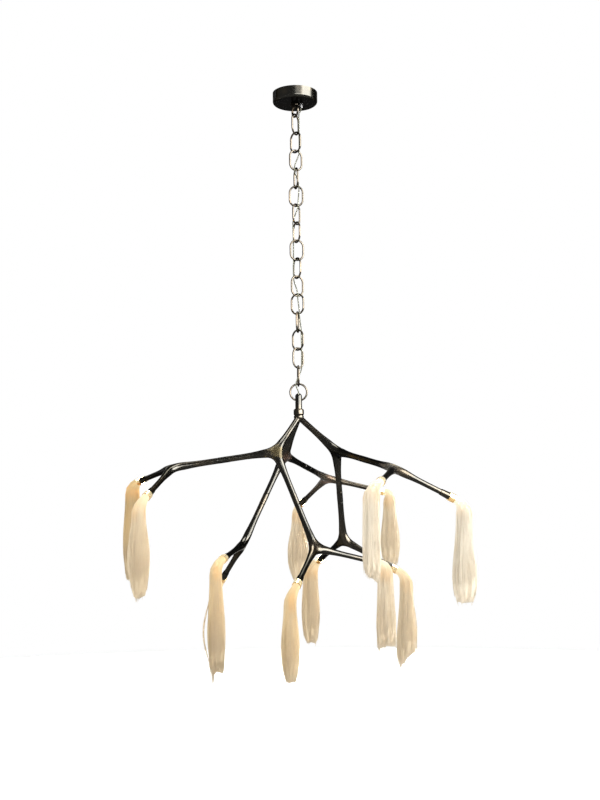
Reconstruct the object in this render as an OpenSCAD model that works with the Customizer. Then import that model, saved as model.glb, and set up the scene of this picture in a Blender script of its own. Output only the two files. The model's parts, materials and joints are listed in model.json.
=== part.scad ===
// Branch chandelier: three like branches of cast forks hang from a ring on a chain,
// and each of their twelve arms ends in a brass cup with a lamp and a silky fibre tassel.
// Millimetres. Origin: centre of the mounting bar's face on the ceiling. +Z is up,
// +X is to the right and -Y is towards the viewer, so all of the light has negative z.

/* [Canopy] */
// Outside diameter of the ceiling canopy
canopy_d = 125; // [115:1:170]
// Depth of the canopy below the ceiling
canopy_h = 30; // [26:1:60]
// Sheet thickness of the canopy
canopy_wall = 1.5; // [1:0.1:2.5]
// Radius of the canopy's rolled lower edge
canopy_edge_r = 7; // [3:0.5:12]
// Length of the mounting bar
bar_l = 108; // [104:1:112]
// Width of the mounting bar
bar_w = 28; // [24:1:40]
// Thickness of the mounting bar
bar_t = 2.5; // [1.5:0.1:5]
// Distance between the two ceiling screw holes
screw_spacing = 92; // [88:1:96]
// Diameter of the ceiling screw holes
screw_hole_d = 5; // [3:0.1:7]
// Thread diameter of the hanging loop's shank
shank_d = 10; // [8:0.5:12]
// Width across the flats of the lock nut
nut_af = 17; // [15:0.5:19]
// Height of the lock nut
nut_h = 6; // [4:0.5:10]
// Diameter of the hanging loop's flange
flange_d = 22; // [18:0.5:24]
// Height of the hanging loop's flange
flange_h = 8; // [4:0.5:16]
// Width of the step round the loop's flange, where it meets the loop
flange_edge = 3; // [1:0.5:4]
// Wire diameter of the hanging loop
loop_wire_d = 6; // [4:0.5:8]
// Inside diameter of the hanging loop
loop_inner_d = 24; // [20:0.5:34]
// Turn of the hanging loop about the vertical
loop_turn = -60; // [-70:1:-50]
// Distance of the cord's grip from the chain
grip_offset = 17; // [16:0.5:19]
// Length of the cord grip's tail below the canopy
grip_tail = 12; // [8:1:16]
// Length, width and height of the lamp driver
driver_size = [30, 26, 20]; // [18:0.5:32]
// Length, width and height of the terminal block
terminal_size = [24, 16, 14]; // [12:0.5:28]

/* [Chain] */
// Vertical distance from one link to the next
link_pitch = 50.3; // [46:0.1:56]
// Outside width of a link
link_w = 41.5; // [36:0.5:46]
// Wire diameter of the links
link_wire_d = 5; // [4:0.1:5.5]
// Turn of each link about the vertical, from the top
link_turn = [62, -44, 27, -75, 0, 60, -62, 14, -59, 32, -26, 81, -39, 42, -86]; // [-90:1:90]
// Gap between a link's wire and the next one's
link_gap = 0.3; // [0.2:0.05:0.6]

/* [Ring and stem] */
// Outside diameter of the round ring
ring_d = 52; // [46:0.5:60]
// Wire diameter of the ring
ring_wire_d = 5.2; // [4:0.1:6]
// Diameter of the stem
stem_d = 19; // [17:0.5:22]
// Length of the stem from its seat to the top of its dome
stem_l = 63; // [60:1:90]
// Height of the ring's wire above the stem's seat
ring_hole_h = 42; // [38:1:46]
// Diameter of the stem's cross hole, which a bent wire passes
ring_hole_d = 8.4; // [8:0.1:9]
// Diameter of the collar
collar_d = 29; // [26:0.5:36]
// Height of the collar
collar_h = 19; // [14:0.5:26]
// Height of the stem's seat above the centre of the crown
seat_h = 4; // [2:0.5:8]

/* [Arms] */
// Length of a crown arm, between the crown's centre and a main fork's
crown_reach = 143; // [120:1:180]
// Length of a long arm, between the centres of two forks
main_reach = 286; // [240:1:330]
// Length of a tip arm, from its fork's centre to its brass cup
tip_reach = 165; // [140:1:200]
// Diameter of the crown arms and the long arms
arm_d = 16.5; // [15:0.5:18]
// Diameter of the tip arms where they meet their sleeves
tip_arm_d = 14.5; // [13:0.5:16]
// Diameter of the rounded knot where a fork's arms meet
knot_d = 30; // [28:0.5:34]
// Distance from a knot's centre at which an arm has thinned out to its own diameter
flare_l = 70; // [35:1:90]
// Diameter of the wire way through the forks
bore_d = 9; // [8:0.5:9.5]
// Diameter of the wire way through the crown
crown_bore_d = 7; // [5:0.5:7]
// Diameter of the crown's rounded middle
crown_d = 28; // [27.5:0.5:32]
// Length of the crown's sockets, from its centre
crown_leg = 42; // [36:1:60]
// Length of a coupling's sleeve between two forks
coupling_l = 33; // [24:1:44]
// Diameter of the spigots that pin the arms together
spigot_d = 12; // [11:0.1:13]
// Length of the spigots
spigot_l = 12; // [8:1:16]
// Gap all round a spigot
fit = 0.1; // [0.05:0.05:0.2]

/* [Directions of the arms] */
// Heading of each branch's crown arm, anticlockwise from +X
crown_heading = [231, 115, 351]; // [0:1:360]
// Drop of each crown arm below level
crown_drop = [45, 45, 43]; // [35:1:55]
// Turn of each high arm from its crown arm's heading
high_turn = [-51, -52, -51]; // [-60:1:-40]
// Drop of each high arm below level
high_drop = [8, 12, 12]; // [0:1:20]
// Turn of each low arm from its crown arm's heading
low_turn = [101, 94, 90]; // [85:1:110]
// Drop of each low arm below level
low_drop = [66, 62, 61]; // [55:1:70]
// Turn of the two tip arms on each high fork, from the high arm's heading
high_tip_turn = [[-52, 71], [-64, 58], [-46, 73]]; // [-90:1:90]
// Drop of the two tip arms on each high fork
high_tip_drop = [[10, 27], [14, 26], [13, 26]]; // [0:1:40]
// Turn of the two tip arms on each low fork, from the low arm's heading
low_tip_turn = [[-81, 41], [-89, 45], [-99, 33]]; // [-110:1:90]
// Drop of the two tip arms on each low fork
low_tip_drop = [[31, 14], [37, 12], [29, 21]]; // [0:1:45]

/* [Arm ends] */
// Length of the bronze sleeve on the end of a tip arm
sleeve_l = 25; // [18:1:32]
// Diameter of the sleeve at the arm
sleeve_d1 = 17; // [16.5:0.5:18]
// Diameter of the sleeve at the cup
sleeve_d2 = 19.5; // [18:0.5:21]
// Diameter of the brass cup
cup_d = 24; // [21:0.5:26]
// Length of the brass cup
cup_l = 17; // [13:0.5:20]
// Wall of the brass cup
cup_wall = 2; // [1.5:0.1:2.5]
// Thickness of the cup's floor
cup_floor = 4; // [2.5:0.5:5]
// Diameter of the cup's neck, inside the sleeve
neck_d = 10; // [8:0.5:11]
// Length of the cup's neck
neck_l = 6; // [4:0.5:9]
// Height of the lamp's disc
lamp_disc_h = 2.5; // [1.5:0.5:3]
// Height of the lamp's lens above its disc
lamp_lens_h = 2.5; // [1.5:0.5:3]
// Diameter of the lamp's lens
lamp_lens_d = 12; // [8:0.5:15]

/* [Tassels] */
// Fall of each tassel below its cup
tassel_l = [290, 284, 264, 242, 235, 268, 255, 308, 252, 286, 284, 266]; // [200:1:320]
// Greatest width of each tassel
tassel_w = [56, 58, 46, 57, 54, 66, 48, 46, 44, 66, 59, 54]; // [36:1:70]
// Width of each tassel where it starts to fall, as a share of its greatest width
tassel_neck = [0.70, 0.62, 0.67, 0.74, 0.68, 0.56, 0.68, 0.68, 0.90, 0.62, 0.62, 0.80]; // [0.4:0.01:1]
// Place of each tassel's greatest width, as a share of its fall
tassel_full = [0.55, 0.45, 0.50, 0.95, 0.60, 0.50, 0.50, 0.60, 0.70, 0.70, 0.80, 0.55]; // [0.3:0.01:0.95]
// Width of each tassel at its foot, as a share of its greatest width
tassel_hem = [0.72, 0.36, 0.66, 0.92, 0.78, 0.42, 0.80, 0.84, 0.85, 0.66, 0.80, 0.74]; // [0.3:0.01:1]
// Distance that each tassel falls to the right of its cup, or to the left below 0
tassel_lean = [-5, -7, -4, -8, -19, 7, -8, -5, -15, 0, -2, -14]; // [-20:1:20]
// Distance over which a tassel leaves its cup along the arm before it falls
tassel_bend = 30; // [20:1:40]
// Number of locks round a tassel
lock_count = 10; // [6:1:12]
// Depth of the grooves between the locks, as a share of the radius
lock_depth = 0.14; // [0.05:0.01:0.25]
// Difference in length between a tassel's longest and shortest locks
lock_rag = 16; // [5:1:40]
// Gap between a tassel and the cup that holds it
tassel_gap = 0.3; // [0.2:0.1:0.6]

/* [Cord] */
// Diameter of the supply cord
cord_d = 3.2; // [2.6:0.1:3.4]
// Distance of the cord from the chain's middle where two links cross
cord_offset = 10.2; // [9.8:0.1:11]
// Diameter of the lead inside the arms
lead_d = 3; // [2:0.1:3.4]

/* [Hidden] */
$fn = 64;
MAX_CORD_SIDES = 8;
DRAW_OVER = 1;
SCREEN_GREY = [0.55, 0.55, 0.53];
BRONZE = [0.16, 0.13, 0.10];
CHAIN_BROWN = [0.24, 0.20, 0.15];
BRASS = [0.80, 0.62, 0.32];
FIBRE = [0.90, 0.82, 0.68];
CORD_GREY = [0.45, 0.45, 0.38];
LAMP_WHITE = [1.0, 0.93, 0.75];
NYLON = [0.12, 0.12, 0.12];

BRANCH = ["left", "back", "right"];
link_count = len(link_turn);
tip_count = 4 * len(BRANCH);

// Direction that a heading and a drop point to
function aim(heading, drop) =
    [cos(drop) * cos(heading), cos(drop) * sin(heading), -sin(drop)];
function two_digits(i) = str(i < 10 ? "0" : "", i);
function mix(a, b, t) = a + (b - a) * t;
function smooth(t) = t * t * (3 - 2 * t);
function unit(v) = v / norm(v);

// Heights down the chain
loop_r = (loop_inner_d + loop_wire_d) / 2;
loop_z = -canopy_h - flange_h - loop_inner_d / 2;
loop_wire_z = loop_z - loop_r;
link_rise = link_pitch / 2 + (link_wire_d + link_gap) / 2;
link_side = (link_w - link_wire_d) / 2;
first_link_z = loop_wire_z + (loop_wire_d + link_wire_d) / 2 + link_gap - link_rise;
function link_z(i) = first_link_z - i * link_pitch;
ring_r = (ring_d - ring_wire_d) / 2;
ring_top_z = link_z(link_count - 1) - link_rise + (link_wire_d + ring_wire_d) / 2 + link_gap;
ring_z = ring_top_z - ring_r;
ring_wire_z = ring_z - ring_r;
seat_z = ring_wire_z - ring_hole_h;
hub = [0, 0, seat_z - seat_h];

// Branches: each has a main fork, a high fork and a low fork
function crown_aim(b) = aim(crown_heading[b], crown_drop[b]);
function high_heading(b) = crown_heading[b] + high_turn[b];
function low_heading(b) = crown_heading[b] + low_turn[b];
function high_aim(b) = aim(high_heading(b), high_drop[b]);
function low_aim(b) = aim(low_heading(b), low_drop[b]);
function main_knot(b) = hub + crown_reach * crown_aim(b);
function high_knot(b) = main_knot(b) + main_reach * high_aim(b);
function low_knot(b) = main_knot(b) + main_reach * low_aim(b);

// Tips 0 and 1 of a branch are on its high fork, 2 and 3 on its low fork
function branch_of(tip) = floor(tip / 4);
function on_high(tip) = tip % 4 < 2;
function tip_heading(tip) =
    let (b = branch_of(tip), k = tip % 2)
    on_high(tip) ? high_heading(b) + high_tip_turn[b][k] : low_heading(b) + low_tip_turn[b][k];
function tip_drop(tip) =
    let (b = branch_of(tip), k = tip % 2) (on_high(tip) ? high_tip_drop : low_tip_drop)[b][k];
function tip_aim(tip) = aim(tip_heading(tip), tip_drop(tip));
function tip_knot(tip) = on_high(tip) ? high_knot(branch_of(tip)) : low_knot(branch_of(tip));
function arm_end(tip) = tip_knot(tip) + tip_reach * tip_aim(tip);

coupling_start = (main_reach - coupling_l) / 2;
crown_arm_leg = crown_reach - crown_leg;
tip_leg = tip_reach - sleeve_l;
// Where an arm starts inside a knot, clear of its neighbours, and how wide it is there
arm_root_d = knot_d * 0.75;
arm_root = arm_root_d / 2 * 0.84;
way_root = bore_d / 2 * 0.84;
way_ball_d = bore_d * 1.36;
crown_root = arm_d / 2 * 1.345;
crown_way_root = crown_bore_d / 2 * 1.345;
crown_way_ball_d = crown_bore_d * 1.72;
sleeve_bore_d = 6;
sleeve_spigot_d = bore_d - 2 * fit;
sleeve_spigot_l = 10;
chamber_d = 14;
cord_hole_y = -6.6;
cord_hole_d = cord_d + 0.4;
chamber_roof = 5;
chamber_top = ring_hole_h - ring_hole_d / 2 - chamber_roof;
cord_hole_sink = 6;
boss_h = 12;
cord_end_z = 20;
cup_bore_d = cup_d - 2 * cup_wall;
lamp_h = lamp_disc_h + lamp_lens_h;

// Puts what is drawn up the z axis at p, pointing along v
module along(p, v) {
    translate(p) rotate([0, acos(v.z), atan2(v.y, v.x)]) children();
}

module torus(middle_r, wire_d) {
    rotate_extrude() translate([middle_r, 0]) circle(d = wire_d);
}

// ---- Canopy group -------------------------------------------------------------------

// Outline of the canopy's half section, with a rolled lower edge
module canopy_section(r, h, edge_r) {
    union() {
        square([r - edge_r, h]);
        translate([0, edge_r]) square([r, h - edge_r]);
        translate([r - edge_r, edge_r]) circle(r = edge_r);
    }
}

module canopy() {
    inside_r = canopy_d / 2 - canopy_wall;
    color(BRONZE) translate([0, 0, -canopy_h]) difference() {
        rotate_extrude() intersection() {
            canopy_section(canopy_d / 2, canopy_h, canopy_edge_r);
            square([canopy_d, canopy_h]);
        }
        translate([0, 0, canopy_wall]) rotate_extrude() intersection() {
            canopy_section(inside_r, canopy_h, canopy_edge_r - canopy_wall);
            square([canopy_d, canopy_h]);
        }
        translate([0, 0, -DRAW_OVER]) cylinder(d = shank_d + 2 * fit, h = canopy_h);
        translate([grip_offset, 0, -DRAW_OVER]) cylinder(d = grip_body_d + 2 * fit, h = canopy_h);
    }
}

module mounting_bar() {
    color(SCREEN_GREY) difference() {
        translate([-bar_l / 2, -bar_w / 2, -bar_t]) cube([bar_l, bar_w, bar_t]);
        translate([0, 0, -bar_t - DRAW_OVER]) cylinder(d = shank_d + 2 * fit, h = bar_t + 2 * DRAW_OVER);
        for (side = [-1, 1])
            translate([side * screw_spacing / 2, 0, -bar_t - DRAW_OVER])
                cylinder(d = screw_hole_d, h = bar_t + 2 * DRAW_OVER);
    }
}

module lock_nut() {
    color(BRASS) translate([0, 0, -bar_t - nut_h]) difference() {
        cylinder(d = nut_af / cos(30), h = nut_h, $fn = 6);
        translate([0, 0, -DRAW_OVER]) cylinder(d = shank_d + 2 * fit, h = nut_h + 2 * DRAW_OVER);
    }
}

module hanging_loop() {
    flange_face_d = flange_d - 2 * flange_edge;
    color(BRONZE) {
        translate([0, 0, -canopy_h]) cylinder(d = shank_d, h = canopy_h);
        translate([0, 0, -canopy_h - flange_h + loop_wire_d / 2])
            cylinder(d = flange_d, h = flange_h - loop_wire_d / 2);
        translate([0, 0, -canopy_h - flange_h]) cylinder(d = flange_face_d, h = flange_h);
        translate([0, 0, loop_z]) rotate([90, 0, loop_turn]) torus(loop_r, loop_wire_d);
    }
}

// The driver and the terminal block hang from the bar's underside, to the left and right
module lamp_driver() {
    color(SCREEN_GREY)
        translate([-nut_af / sqrt(3) - 2 - driver_size.x, -driver_size.y / 2, -bar_t - driver_size.z])
            cube(driver_size);
}

module terminal_block() {
    wire_hole_d = 3.6;
    wire_hole_pitch = 6;
    color(LAMP_WHITE) difference() {
        translate([nut_af / sqrt(3) + 1, -terminal_size.y / 2, -bar_t - terminal_size.z])
            cube(terminal_size);
        for (row = [-1, 1], column = [1, 2])
            translate([grip_offset + column * wire_hole_pitch, row * terminal_size.y / 4,
                       -bar_t - terminal_size.z - DRAW_OVER])
                cylinder(d = wire_hole_d, h = terminal_size.z / 2);
    }
}

grip_body_d = 8;
grip_head_d = 11;
grip_head_h = 3;
grip_collar_h = 4;
module cord_grip() {
    inside_h = canopy_wall + grip_collar_h;
    color(NYLON) translate([grip_offset, 0, -canopy_h]) difference() {
        union() {
            cylinder(d = grip_body_d, h = inside_h);
            translate([0, 0, -grip_head_h]) cylinder(d = grip_head_d, h = grip_head_h);
            translate([0, 0, -grip_tail])
                cylinder(d1 = cord_d + 2, d2 = grip_body_d, h = grip_tail - grip_head_h);
        }
        translate([0, 0, -grip_tail - DRAW_OVER])
            cylinder(d = cord_d + 0.3, h = grip_tail + inside_h + 2 * DRAW_OVER);
    }
}

// ---- Chain and ring -----------------------------------------------------------------

module link_arc() {
    rotate_extrude(angle = 180) translate([link_side, 0]) circle(d = link_wire_d);
}

module chain_link(i) {
    straight = link_rise - link_side;
    color(CHAIN_BROWN) translate([0, 0, link_z(i)]) rotate([90, 0, link_turn[i]]) {
        translate([0, straight, 0]) link_arc();
        translate([0, -straight, 0]) rotate([0, 0, 180]) link_arc();
        for (side = [-1, 1])
            translate([side * link_side, -straight, 0]) rotate([-90, 0, 0])
                cylinder(d = link_wire_d, h = 2 * straight);
    }
}

module hanging_ring() {
    color(CHAIN_BROWN) translate([0, 0, ring_z]) rotate([90, 0, 0]) torus(ring_r, ring_wire_d);
}

// ---- Stem, collar and crown ---------------------------------------------------------

module stem() {
    color(BRONZE) translate([0, 0, seat_z]) difference() {
        union() {
            cylinder(d = stem_d, h = stem_l - stem_d / 2);
            translate([0, 0, stem_l - stem_d / 2]) sphere(d = stem_d);
        }
        translate([0, 0, -stem_d]) cylinder(d = stem_d + 2, h = stem_d);
        translate([0, 0, -DRAW_OVER]) cylinder(d = chamber_d, h = chamber_top + DRAW_OVER);
        translate([0, cord_hole_y, chamber_top - cord_hole_sink]) cylinder(d = cord_hole_d, h = stem_l);
        translate([-stem_d, 0, ring_hole_h + 1]) rotate([0, 90, 0])
            cylinder(d = ring_hole_d, h = 2 * stem_d);
    }
}

module collar() {
    edge = 5;
    color(BRONZE) translate([0, 0, seat_z]) difference() {
        rotate_extrude() intersection() {
            union() {
                square([collar_d / 2 - edge, collar_h]);
                translate([0, edge]) square([collar_d / 2, collar_h - 2 * edge]);
                for (z = [edge, collar_h - edge])
                    translate([collar_d / 2 - edge, z]) circle(r = edge);
            }
            square([collar_d, collar_h]);
        }
        translate([0, 0, -DRAW_OVER]) cylinder(d = stem_d + 2 * fit, h = collar_h + 2 * DRAW_OVER);
    }
}

// A cast arm along v that thins from the fork's knot to its own diameter, with a spigot
// beyond its end where pin_l isn't 0
module arm(v, length, end_d, pin_l = 0) {
    pin_r = spigot_d / 2 - fit;
    end_r = end_d / 2;
    along([0, 0, 0], v) rotate_extrude() polygon(concat(
        [[0, arm_root], [arm_root_d / 2, arm_root], [end_r, flare_l], [end_r, length]],
        pin_l > 0 ? [[pin_r, length], [pin_r, length + pin_l], [0, length + pin_l]] : [[0, length]]));
}

// The hole down an arm, with a wider socket for a spigot where socket_l isn't 0
module wire_way(v, root, way_d, length, socket_l = 0) {
    way_r = way_d / 2;
    end = length + DRAW_OVER;
    seat = length - socket_l;
    along([0, 0, 0], v) rotate_extrude() polygon(concat(
        [[0, root], [way_r, root]],
        socket_l > 0
            ? [[way_r, seat], [spigot_d / 2, seat], [spigot_d / 2, end], [0, end]]
            : [[way_r, end], [0, end]]));
}

module crown() {
    color(BRONZE) translate(hub) difference() {
        union() {
            difference() {
                sphere(d = crown_d);
                translate([0, 0, seat_h]) cylinder(d = crown_d, h = crown_d);
            }
            cylinder(d = chamber_d - 2 * fit, h = seat_h + boss_h);
            for (b = [0:len(BRANCH) - 1])
                along(crown_root * crown_aim(b), crown_aim(b))
                    cylinder(d = arm_d, h = crown_leg - crown_root);
        }
        sphere(d = crown_way_ball_d);
        for (b = [0:len(BRANCH) - 1])
            wire_way(crown_aim(b), crown_way_root, crown_bore_d, crown_leg, spigot_l + 1);
        cylinder(d = crown_bore_d, h = seat_h + boss_h + DRAW_OVER);
    }
}

// ---- Forks --------------------------------------------------------------------------

// A ball where three arms meet. Its poles stand square to the arms, and its meridian of
// longitude 0 runs between the two arms that it carries.
module knot(d, v_in, v_outs) {
    pole = unit(cross(v_outs[0], v_outs[1]));
    middle = unit(v_outs[0] + v_outs[1]);
    level = norm([pole.x, pole.y]) > 0.001 ? unit([-pole.y, pole.x, 0]) : [0, 1, 0];
    along([0, 0, 0], pole) rotate([0, 0, atan2(middle * level, middle * cross(level, pole))])
        sphere(d = d);
}

// v_in points back along the arm that carries the fork, v_outs along the arms that it carries
module main_fork(b) {
    v_in = -crown_aim(b);
    v_outs = [high_aim(b), low_aim(b)];
    color(BRONZE) translate(main_knot(b)) difference() {
        union() {
            knot(knot_d, v_in, v_outs);
            arm(v_in, crown_arm_leg, arm_d, spigot_l);
            for (v = v_outs) arm(v, coupling_start, arm_d);
        }
        knot(way_ball_d, v_in, v_outs);
        wire_way(v_in, way_root, bore_d, crown_arm_leg + spigot_l);
        for (v = v_outs) wire_way(v, way_root, bore_d, coupling_start, spigot_l + 1);
    }
}

module tip_fork(knot, v_in, v_outs) {
    color(BRONZE) translate(knot) difference() {
        union() {
            knot(knot_d, v_in, v_outs);
            arm(v_in, coupling_start, arm_d);
            for (v = v_outs) arm(v, tip_leg, tip_arm_d);
        }
        knot(way_ball_d, v_in, v_outs);
        wire_way(v_in, way_root, bore_d, coupling_start, spigot_l + 1);
        for (v = v_outs) wire_way(v, way_root, bore_d, tip_leg);
    }
}

module high_fork(b) {
    tip_fork(high_knot(b), -high_aim(b), [tip_aim(4 * b), tip_aim(4 * b + 1)]);
}

module low_fork(b) {
    tip_fork(low_knot(b), -low_aim(b), [tip_aim(4 * b + 2), tip_aim(4 * b + 3)]);
}

// A sleeve between two arms, with a bevelled edge at each seam and a spigot in each arm
module coupling(b, v) {
    bevel = 0.8;
    wide_d = arm_d + 0.5;
    color(BRONZE) along(main_knot(b) + v * coupling_start, v) difference() {
        union() {
            cylinder(d1 = wide_d - 2 * bevel, d2 = wide_d, h = bevel);
            translate([0, 0, bevel]) cylinder(d = wide_d, h = coupling_l - 2 * bevel);
            translate([0, 0, coupling_l - bevel])
                cylinder(d1 = wide_d, d2 = wide_d - 2 * bevel, h = bevel);
            translate([0, 0, -spigot_l])
                cylinder(d = spigot_d - 2 * fit, h = coupling_l + 2 * spigot_l);
        }
        translate([0, 0, -spigot_l - DRAW_OVER])
            cylinder(d = bore_d, h = coupling_l + 2 * spigot_l + 2 * DRAW_OVER);
    }
}

// ---- Arm ends -----------------------------------------------------------------------

module end_sleeve(tip) {
    along(arm_end(tip), tip_aim(tip)) difference() {
        union() {
            translate([0, 0, -sleeve_l]) cylinder(d1 = sleeve_d1, d2 = sleeve_d2, h = sleeve_l);
            translate([0, 0, -sleeve_l - sleeve_spigot_l])
                cylinder(d = sleeve_spigot_d, h = sleeve_spigot_l + 1);
        }
        translate([0, 0, -sleeve_l - sleeve_spigot_l - DRAW_OVER])
            cylinder(d = sleeve_bore_d, h = sleeve_l + sleeve_spigot_l + 2 * DRAW_OVER);
        translate([0, 0, -neck_l - 1]) cylinder(d = neck_d + 2 * fit, h = neck_l + 1 + DRAW_OVER);
    }
}

module end_sleeves() {
    color(BRONZE) for (tip = [0:tip_count - 1]) end_sleeve(tip);
}

module brass_cup(tip) {
    lead_hole_d = lead_d + 1;
    along(arm_end(tip), tip_aim(tip)) difference() {
        union() {
            cylinder(d = cup_d, h = cup_l);
            translate([0, 0, -neck_l]) cylinder(d = neck_d, h = neck_l + 1);
        }
        translate([0, 0, cup_floor]) cylinder(d = cup_bore_d, h = cup_l);
        translate([0, 0, -neck_l - DRAW_OVER]) cylinder(d = lead_hole_d, h = neck_l + cup_l);
    }
}

module brass_cups() {
    color(BRASS) for (tip = [0:tip_count - 1]) brass_cup(tip);
}

module lamp(tip) {
    along(arm_end(tip) + cup_floor * tip_aim(tip), tip_aim(tip)) {
        cylinder(d = cup_bore_d - 2 * tassel_gap, h = lamp_disc_h);
        translate([0, 0, lamp_disc_h / 2])
            cylinder(d = lamp_lens_d, h = lamp_disc_h / 2 + lamp_lens_h);
    }
}

module lamps() {
    color(LAMP_WHITE) for (tip = [0:tip_count - 1]) lamp(tip);
}

// The leads run down the middle of every arm, from the stem to the back of every lamp, and
// start in the splice at its upper end
module lead(from, to) {
    v = unit(to - from);
    along(from + v * lead_d * 0.7, v) cylinder(d = lead_d, h = norm(to - from) - lead_d * 0.7);
}

module wiring() {
    splice_d = lead_d * 1.8;
    color(CORD_GREY) {
        translate(hub) sphere(d = splice_d);
        lead(hub, hub + [0, 0, seat_h + cord_end_z - tassel_gap]);
        for (b = [0:len(BRANCH) - 1]) {
            for (knot = [main_knot(b), high_knot(b), low_knot(b)])
                translate(knot) sphere(d = splice_d);
            lead(hub, main_knot(b));
            lead(main_knot(b), high_knot(b));
            lead(main_knot(b), low_knot(b));
        }
        for (tip = [0:tip_count - 1])
            lead(tip_knot(tip), arm_end(tip) + cup_floor * tip_aim(tip));
    }
}

// ---- Skins: rings of points joined into a closed form -------------------------------

// A closed form through rings of n points each, with a point at each end
module skin(rings, start_tip, end_tip) {
    n = len(rings[0]);
    last = len(rings) - 1;
    points = concat([for (ring = rings) each ring], [start_tip, end_tip]);
    start_i = (last + 1) * n;
    faces = concat(
        [for (k = [0:n - 1]) [start_i, (k + 1) % n, k]],
        [for (j = [0:last - 1], k = [0:n - 1]) each
            let (a = j * n + k, b = j * n + (k + 1) % n) [[a, b, a + n], [b, b + n, a + n]]],
        [for (k = [0:n - 1]) [last * n + k, last * n + (k + 1) % n, start_i + 1]]);
    polyhedron(points, faces);
}

// ---- Tassels ------------------------------------------------------------------------

// A tassel leaves its cup along the arm, bends over and falls straight
LOCK_SIDES = 2;
BEND_STEPS = [0.25, 0.5, 0.75, 1];
FALL_STEPS = [0.17, 0.34, 0.52, 0.7, 0.87, 1];

function bend_point(v, t, lean) =
    v * tassel_bend * (2 * t - t * t) + [lean * smooth(t), 0, -tassel_bend * t * t];
function bend_slope(v, t, lean) =
    unit(v * 2 * tassel_bend * (1 - t) + [6 * lean * t * (1 - t), 0, -2 * tassel_bend * t]);
// Share of the greatest width at share u of the fall
function fall_shape(tip, u) =
    let (full = tassel_full[tip], neck = tassel_neck[tip], hem = tassel_hem[tip])
    u < full ? neck + (1 - neck) * smooth(u / full) : 1 - (1 - hem) * pow((u - full) / (1 - full), 2);
function rag(tip, k) = 0.5 + 0.5 * sin(k * 137 + tip * 71);

// Ring of a tassel round p, square to slope; across lies level
function tassel_ring(p, slope, across, r, groove, lengthen = 0, tip = 0) =
    let (n = lock_count * LOCK_SIDES, up = cross(slope, across))
    [for (k = [0:n - 1])
        let (
            a = 360 * k / n,
            wave = 1 - groove * (k % LOCK_SIDES),
            longer = slope * lengthen * rag(tip, floor(k / LOCK_SIDES))
        )
        p + (across * cos(a) + up * sin(a)) * r * wave + longer];

module tassel(tip) {
    v = tip_aim(tip);
    across = [-sin(tip_heading(tip)), cos(tip_heading(tip)), 0];
    mouth = arm_end(tip) + cup_l * v;
    root_r = cup_bore_d / 2 - tassel_gap;
    root_depth = cup_l - cup_floor - lamp_h - tassel_gap;
    half_w = tassel_w[tip] / 2;
    start = mouth + 2 * tassel_gap * v;
    lean = tassel_lean[tip];
    fall_top = start + bend_point(v, 1, lean);
    fall = tassel_l[tip] - (mouth - fall_top).z - lock_rag;
    root = [
        tassel_ring(mouth - root_depth * v, v, across, root_r, 0),
        tassel_ring(start, v, across, root_r, 0)];
    bend = [for (t = BEND_STEPS)
        tassel_ring(start + bend_point(v, t, lean), bend_slope(v, t, lean), across,
            mix(root_r, half_w * tassel_neck[tip], smooth(t)), lock_depth * t)];
    hang = [for (j = [0:len(FALL_STEPS) - 1])
        tassel_ring(fall_top + [0, 0, -fall * FALL_STEPS[j]], [0, 0, -1], across,
            half_w * fall_shape(tip, FALL_STEPS[j]), lock_depth,
            j == len(FALL_STEPS) - 1 ? lock_rag : 0, tip)];
    color(FIBRE) skin(concat(root, bend, hang),
        mouth - root_depth * v, fall_top + [0, 0, -fall - lock_rag / 4]);
}

// ---- Supply cord --------------------------------------------------------------------

// Side of the chain on which the cord passes each crossing of two links, from the loop
// down to the ring, as a heading
cord_side = [0, 9, -8, -114, -38, -60, 180, 156, 158, 166, -87, -62, 21, 0, -22, -133];
STEPS_PER_LINK = 4;

function crossing_z(k) = loop_wire_z - k * link_pitch + (k > 0 ? link_wire_d / 2 : loop_wire_d / 2);
function crossing(k) =
    [cord_offset * cos(cord_side[k]), cord_offset * sin(cord_side[k]), crossing_z(k)];
// Between two places the cord leaves and arrives upright
function eased(a, b, t) = [mix(a.x, b.x, smooth(t)), mix(a.y, b.y, smooth(t)), mix(a.z, b.z, t)];
function run(a, b, steps) = [for (s = [0:steps - 1]) eased(a, b, s / steps)];

cord_top = [grip_offset, 0, -bar_t - terminal_size.z];
grip_end = [grip_offset, 0, -canopy_h - grip_tail];
stem_entry = [0, cord_hole_y, seat_z + stem_l];
chamber_entry = [0, cord_hole_y, seat_z + chamber_top - 1];
cord_end = [0, 0, seat_z + cord_end_z];
cord_route = concat(
    run(cord_top, grip_end, 2),
    run(grip_end, crossing(0), 3),
    [for (k = [0:link_count - 1]) each run(crossing(k), crossing(k + 1), STEPS_PER_LINK)],
    run(crossing(link_count), stem_entry, 3),
    run(stem_entry, chamber_entry, 2),
    run(chamber_entry, cord_end, 3),
    [cord_end]);

function cord_slope(i) =
    let (last = len(cord_route) - 1)
    i == 0 || i == last ? [0, 0, -1] : unit(cord_route[i + 1] - cord_route[i - 1]);
function cord_ring(i) =
    let (slope = cord_slope(i), across = unit(cross([0, 1, 0], slope)), up = cross(slope, across))
    [for (k = [0:MAX_CORD_SIDES - 1])
        let (a = 360 * k / MAX_CORD_SIDES)
        cord_route[i] + (across * cos(a) + up * sin(a)) * cord_d / 2];

module supply_cord() {
    last = len(cord_route) - 1;
    color(CORD_GREY)
        skin([for (i = [0:last]) cord_ring(i)], cord_route[0], cord_route[last]);
}

// ---- The whole light ----------------------------------------------------------------

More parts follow.
